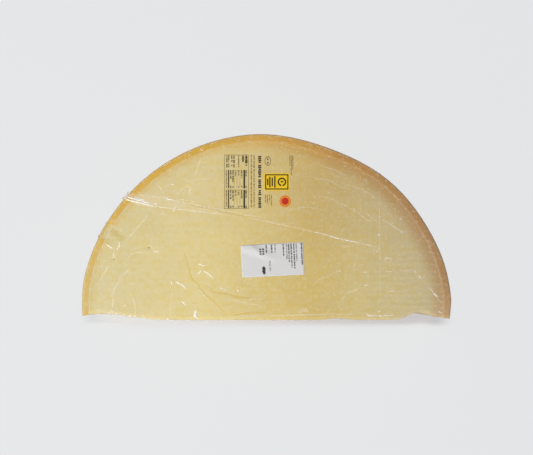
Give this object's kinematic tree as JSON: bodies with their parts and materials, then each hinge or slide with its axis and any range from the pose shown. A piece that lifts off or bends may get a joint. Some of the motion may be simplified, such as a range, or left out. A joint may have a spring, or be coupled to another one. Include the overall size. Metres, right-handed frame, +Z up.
{
  "type": "grana padano half wheel",
  "caption": "Half wheel of hard grating cheese lying on its flat plate, with a level cut face, a straight cut front and a rind, vacuum sealed in clear film with a paper label.",
  "frame": {"origin": "middle of the bounding box, on the face that the half wheel rests on", "axes": "+X along the straight cut, +Y from the cut towards the round side, +Z up from the plate to the level cut face"},
  "size_m": [0.43, 0.2162, 0.0964],
  "materials": {
    "film_and_cheese": "clear glossy film drawn tight over pale straw-coloured hard cheese with an amber rind",
    "label_paper": "white self-adhesive paper with a satin face"
  },
  "bodies": {
    "root": {"wrapped_cheese": "film_and_cheese", "label": "label_paper"}
  },
  "joints": []
}
